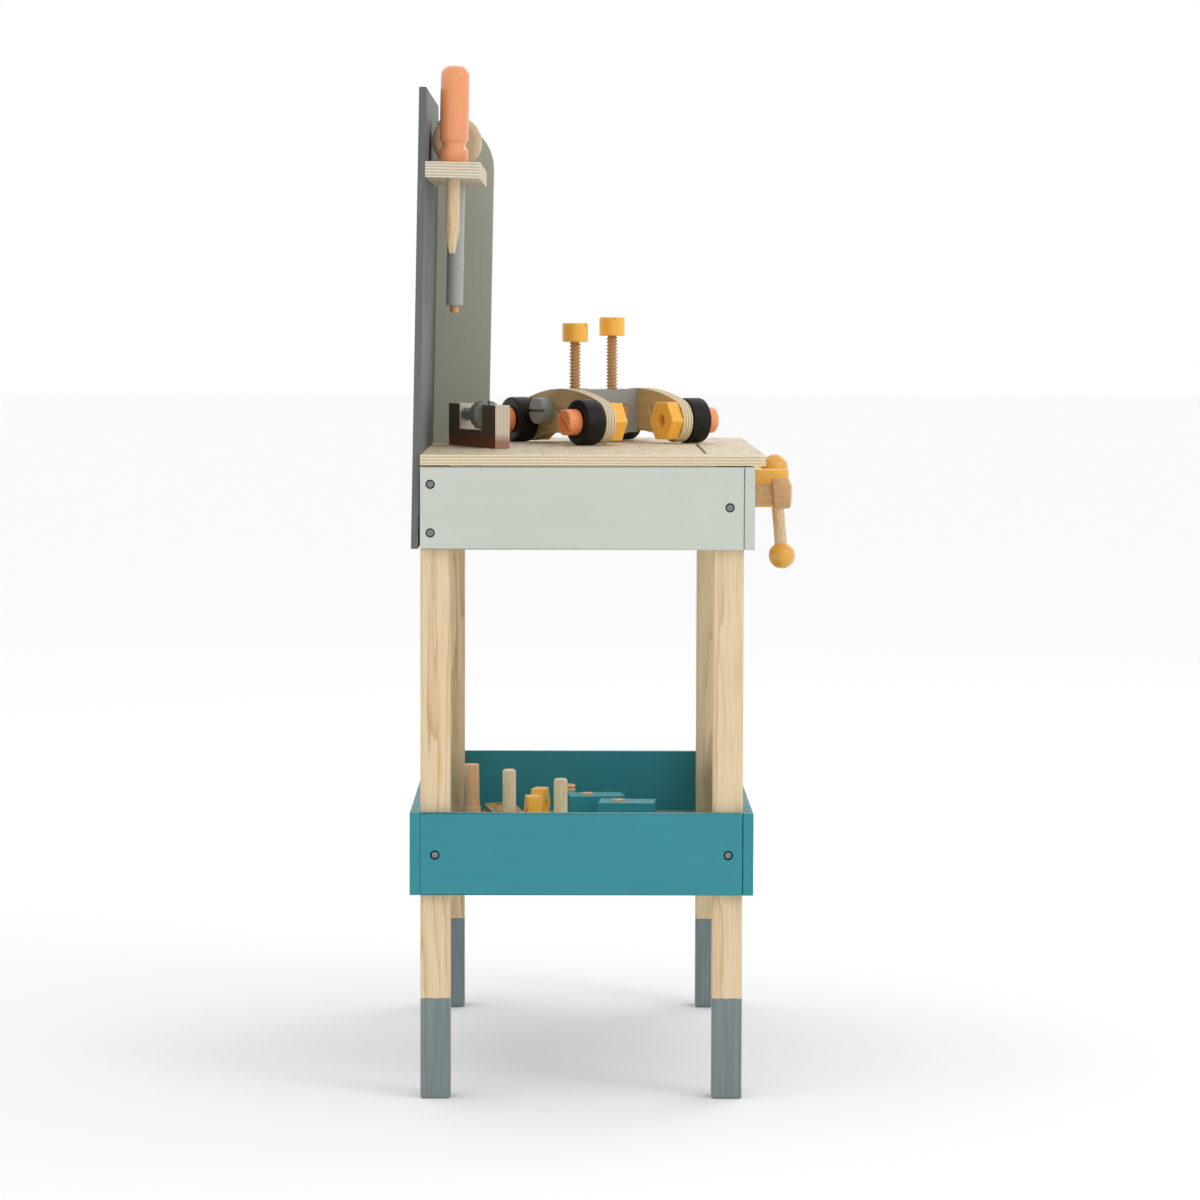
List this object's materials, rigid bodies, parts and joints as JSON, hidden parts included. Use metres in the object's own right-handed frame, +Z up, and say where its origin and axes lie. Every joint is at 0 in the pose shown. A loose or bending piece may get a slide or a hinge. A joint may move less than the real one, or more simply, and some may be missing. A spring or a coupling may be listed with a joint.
{
  "type": "toy workbench",
  "caption": "Free-standing wooden toy workbench with a tool board, hanging tools, a screw vise, a bolted toy truck on top and a shelf tray of loose building pieces.",
  "frame": {"origin": "middle of the whole bench's footprint box, on the floor", "axes": "+X along the bench's width, towards the end without the tool board; -Y out of the front, where the vise is; +Z up"},
  "size_m": [0.5, 0.3268, 0.8451],
  "materials": {
    "pine": "bare sanded pine, lower ends dipped in grey paint",
    "plywood": "bare birch plywood, fine sanded",
    "beech": "bare turned beech",
    "sage_paint": "matt sage paint on board",
    "teal_paint": "matt teal paint on board",
    "slate_paint": "matt slate board paint, lightly scuffed",
    "yellow_paint": "satin yellow paint on wood",
    "coral_paint": "satin coral paint on wood",
    "black_paint": "satin black paint on wood",
    "grey_paint": "satin grey paint on wood",
    "rust_paint": "matt rust-red paint on plywood",
    "steel": "blackened steel screws"
  },
  "bodies": {
    "bench": {"leg_front_left": "pine", "leg_front_right": "pine", "leg_back_left": "pine", "leg_back_right": "pine", "apron_left": "sage_paint", "apron_right": "sage_paint", "apron_front": "sage_paint", "apron_back": "sage_paint", "worktop": "plywood", "worktop_battens": "pine", "tray_left": "teal_paint", "tray_right": "teal_paint", "tray_front": "teal_paint", "tray_back": "teal_paint", "tray_floor": "teal_paint", "tray_cleats": "pine", "side_screws": "steel", "front_screws": "steel", "back_screws": "steel", "tool_board": "slate_paint", "board_wing": "sage_paint", "tool_shelf": "plywood", "board_screws": "steel", "tool_peg": "beech", "vise_nut": "beech"},
    "vise_jaw": {"vise_jaw": "yellow_paint", "vise_guides": "beech"},
    "vise_spindle": {"vise_spindle": "beech", "vise_collar": "beech"},
    "tommy_bar": {"tommy_bar": "beech", "tommy_balls": "yellow_paint"},
    "screwdriver": {"driver_handle": "coral_paint", "driver_blade": "beech"},
    "spare_screwdriver": {"spare_driver_handle": "coral_paint", "spare_driver_blade": "beech"},
    "hammer": {"hammer_head": "beech", "hammer_handle": "grey_paint"},
    "truck": {"truck_plate_left": "plywood", "truck_plate_right": "plywood", "truck_block": "grey_paint", "truck_rear_block": "grey_paint", "axle_bolts": "coral_paint", "axle_nuts": "yellow_paint", "side_bolts": "grey_paint", "block_stud": "beech", "upright_screws": "yellow_paint"},
    "wheel_front_left": {"wheel_front_left": "black_paint"},
    "wheel_rear_left": {"wheel_rear_left": "black_paint"},
    "wheel_front_right": {"wheel_front_right": "black_paint"},
    "wheel_rear_right": {"wheel_rear_right": "black_paint"},
    "notched_beam": {"notched_beam": "rust_paint", "beam_bolt": "grey_paint"},
    "tray_pieces": {"stepped_peg": "beech", "tray_nails": "beech", "tray_nuts": "yellow_paint", "tray_plate": "plywood", "tray_blocks": "teal_paint", "tray_inserts": "beech", "tray_screw": "beech"}
  },
  "joints": [
    {"name": "jaw_slide", "type": "slide", "parent": "bench", "child": "vise_jaw", "axis": [0, -1, 0], "range_m": [0, 0.03]},
    {"name": "spindle_turn", "type": "hinge", "parent": "vise_jaw", "child": "vise_spindle", "pos_m": [0, -0.1471, 0.489], "axis": [0, -1, 0], "range_deg": [0, 2160]},
    {"name": "tommy_bar_slide", "type": "slide", "parent": "vise_spindle", "child": "tommy_bar", "axis": [0, 0.0872, 0.9962], "range_m": [0, 0.033]},
    {"name": "screwdriver_lift", "type": "slide", "parent": "bench", "child": "screwdriver", "axis": [0, -0.0183, 0.9998], "range_m": [0, 0.1]},
    {"name": "spare_screwdriver_lift", "type": "slide", "parent": "bench", "child": "spare_screwdriver", "axis": [0, -0.0183, 0.9998], "range_m": [0, 0.1]},
    {"name": "hammer_lift", "type": "slide", "parent": "bench", "child": "hammer", "axis": [0, -0.0183, 0.9998], "range_m": [0, 0.14]},
    {"name": "truck_lift", "type": "slide", "parent": "bench", "child": "truck", "axis": [0, 0, 1], "range_m": [0, 0.1]},
    {"name": "front_left_wheel_spin", "type": "hinge", "parent": "truck", "child": "wheel_front_left", "pos_m": [0.00655, 0.01961, 0.5498], "axis": [-0.5299, 0.848, 0], "continuous": true},
    {"name": "rear_left_wheel_spin", "type": "hinge", "parent": "truck", "child": "wheel_rear_left", "pos_m": [0.10153, 0.07896, 0.5498], "axis": [-0.5299, 0.848, 0], "continuous": true},
    {"name": "front_right_wheel_spin", "type": "hinge", "parent": "truck", "child": "wheel_front_right", "pos_m": [0.07523, -0.07426, 0.5498], "axis": [-0.5299, 0.848, 0], "continuous": true},
    {"name": "rear_right_wheel_spin", "type": "hinge", "parent": "truck", "child": "wheel_rear_right", "pos_m": [0.17021, -0.01491, 0.5498], "axis": [-0.5299, 0.848, 0], "continuous": true},
    {"name": "notched_beam_lift", "type": "slide", "parent": "bench", "child": "notched_beam", "axis": [0, 0, 1], "range_m": [0, 0.1]},
    {"name": "tray_pieces_lift", "type": "slide", "parent": "bench", "child": "tray_pieces", "axis": [0, 0, 1], "range_m": [0, 0.08]}
  ],
  "couplings": [
    {"joint": "jaw_slide", "follows": "spindle_turn", "m_per_rad": 0.00079577}
  ]
}
